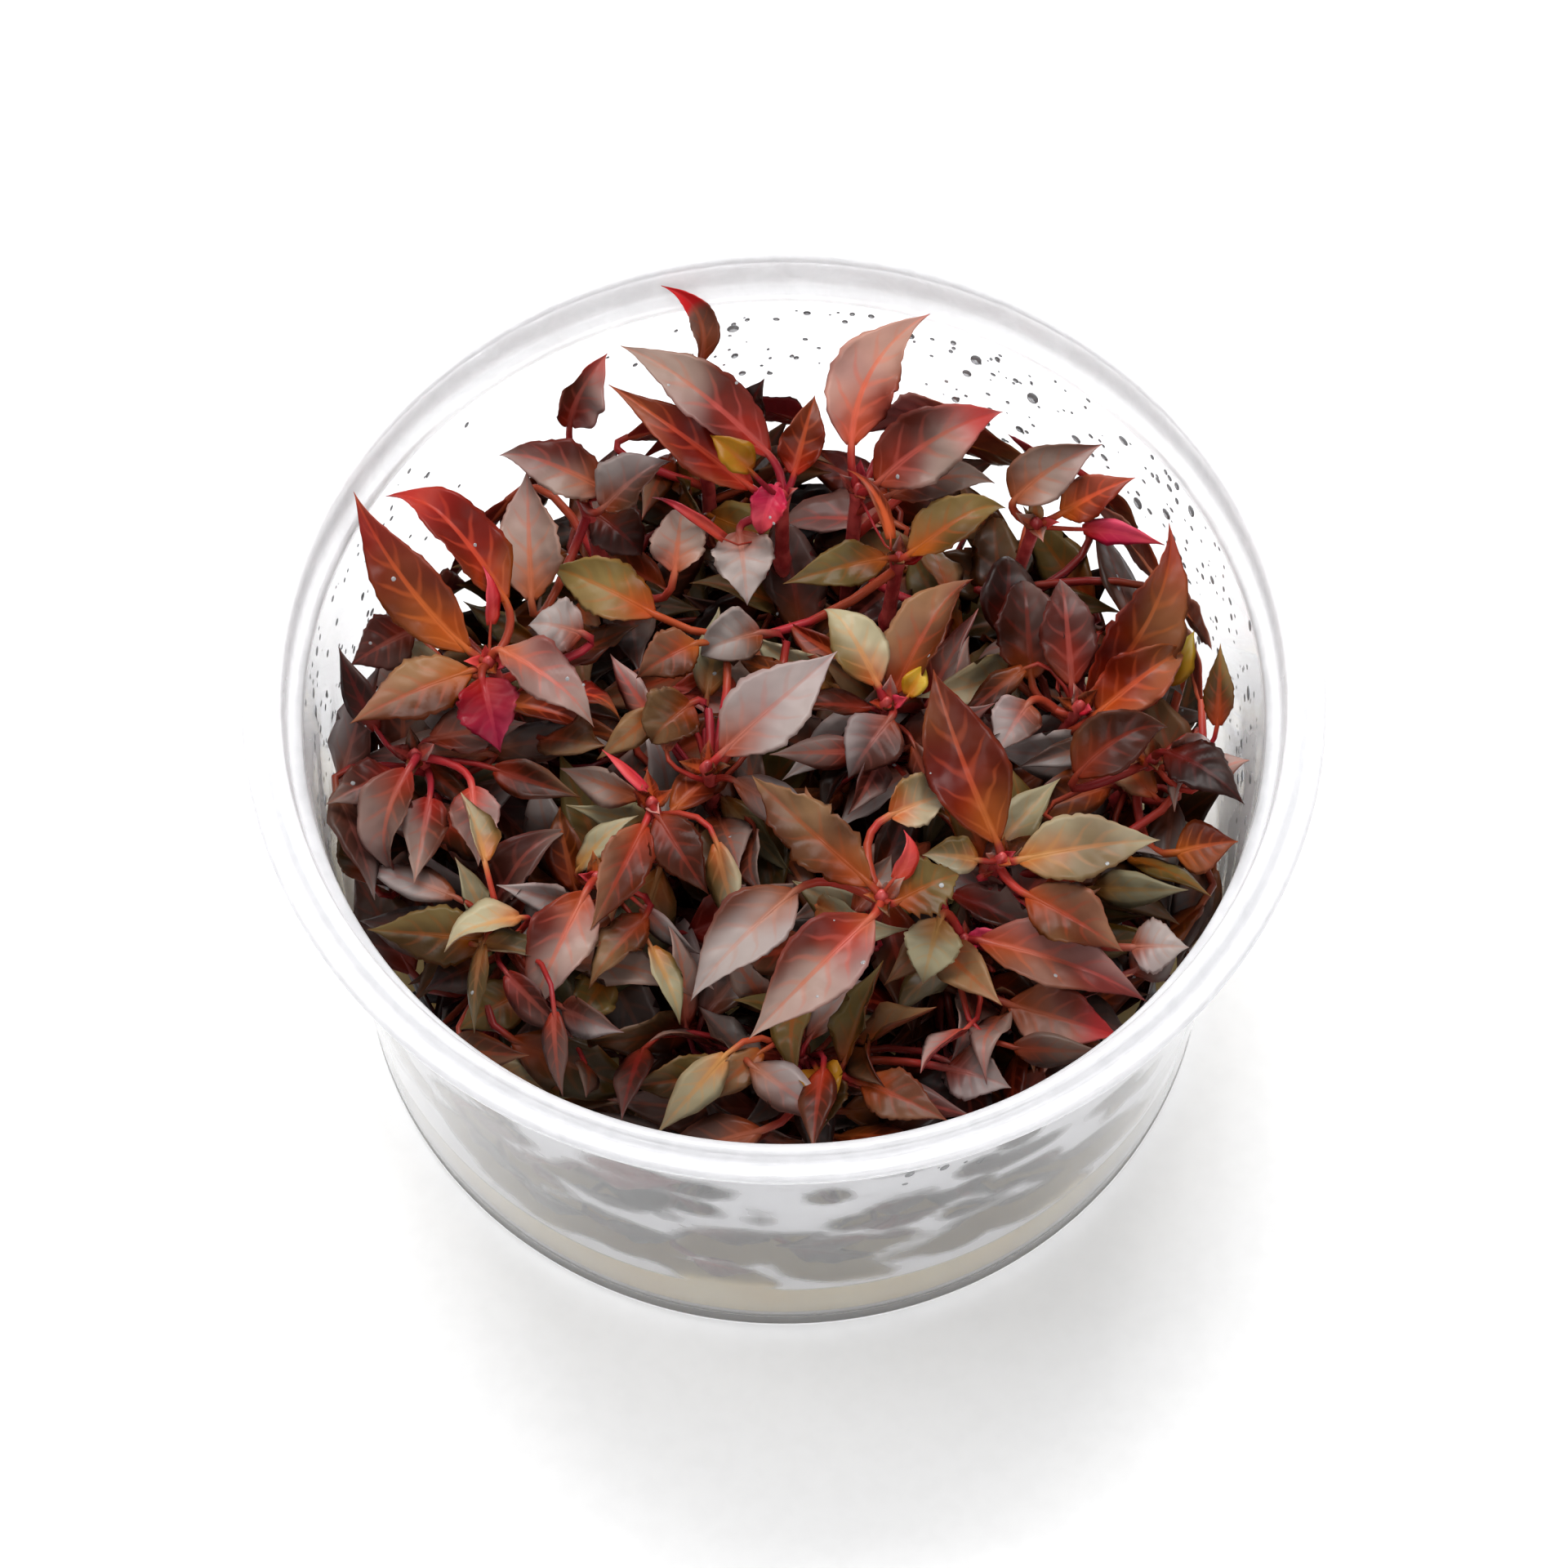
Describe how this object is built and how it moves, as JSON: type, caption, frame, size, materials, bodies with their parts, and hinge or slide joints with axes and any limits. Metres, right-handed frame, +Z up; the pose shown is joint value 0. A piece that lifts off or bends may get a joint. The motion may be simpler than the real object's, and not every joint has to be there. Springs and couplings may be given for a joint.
{
  "type": "tissue culture cup of dwarf alternanthera reineckii",
  "caption": "Open clear round culture cup holding small red-leaved aquarium plantlets that stand in a pale nutrient gel.",
  "frame": {"origin": "centre of the bottom of the cup's foot ring", "axes": "+Z up along the cup's axis; -Y towards the viewer of the picture"},
  "size_m": [0.11, 0.11, 0.0605],
  "materials": {
    "cup": "satin",
    "gel": "gloss",
    "stem": "satin",
    "leaf_bronze": "satin",
    "leaf_dark": "satin",
    "leaf_ember": "satin",
    "leaf_grey": "satin",
    "leaf_mauve": "satin",
    "leaf_olive": "satin",
    "leaf_pale": "satin",
    "leaf_rose": "satin"
  },
  "bodies": {
    "root": {"cup": "cup", "culture_gel": "gel", "stem_left": "stem", "stem_back_left": "stem", "stem_back": "stem", "stem_back_right": "stem", "stem_inner_back": "stem", "stem_right_back": "stem", "stem_right": "stem", "stem_middle_right": "stem", "stem_middle": "stem", "stem_middle_left": "stem", "stem_right_front": "stem", "stem_front": "stem", "stem_front_left": "stem", "stem_left_front": "stem", "stem_far_left": "stem", "stem_far_right": "stem", "stem_front_right": "stem", "stem_low_front": "stem", "stem_wall_back": "stem", "leaf_left_1": "leaf_ember", "leaf_left_2": "leaf_ember", "leaf_left_3": "leaf_bronze", "leaf_left_4": "leaf_mauve", "leaf_back_left_1": "leaf_mauve", "leaf_back_left_2": "leaf_mauve", "leaf_back_left_3": "leaf_grey", "leaf_back_1": "leaf_mauve", "leaf_back_2": "leaf_ember", "leaf_back_3": "leaf_ember", "leaf_back_right_1": "leaf_rose", "leaf_back_right_2": "leaf_mauve", "leaf_back_right_3": "leaf_mauve", "leaf_inner_back_1": "leaf_olive", "leaf_inner_back_2": "leaf_olive", "leaf_right_back_1": "leaf_mauve", "leaf_right_back_2": "leaf_ember", "leaf_right_1": "leaf_ember", "leaf_middle_right_1": "leaf_bronze", "leaf_middle_right_2": "leaf_pale", "leaf_middle_1": "leaf_grey", "leaf_middle_left_1": "leaf_bronze", "leaf_middle_left_2": "leaf_bronze", "leaf_right_front_1": "leaf_ember", "leaf_right_front_2": "leaf_pale", "leaf_front_1": "leaf_mauve", "leaf_front_2": "leaf_bronze", "leaf_front_3": "leaf_grey", "leaf_front_4": "leaf_olive", "leaf_front_left_1": "leaf_mauve", "leaf_left_front_1": "leaf_olive", "leaf_far_left_1": "leaf_mauve", "leaf_far_right_1": "leaf_dark", "leaf_front_right_1": "leaf_rose", "leaf_front_right_2": "leaf_rose", "leaf_low_front_1": "leaf_bronze", "leaf_low_front_2": "leaf_olive", "leaf_low_front_3": "leaf_olive", "leaf_wall_back_1": "leaf_rose"}
  },
  "joints": []
}
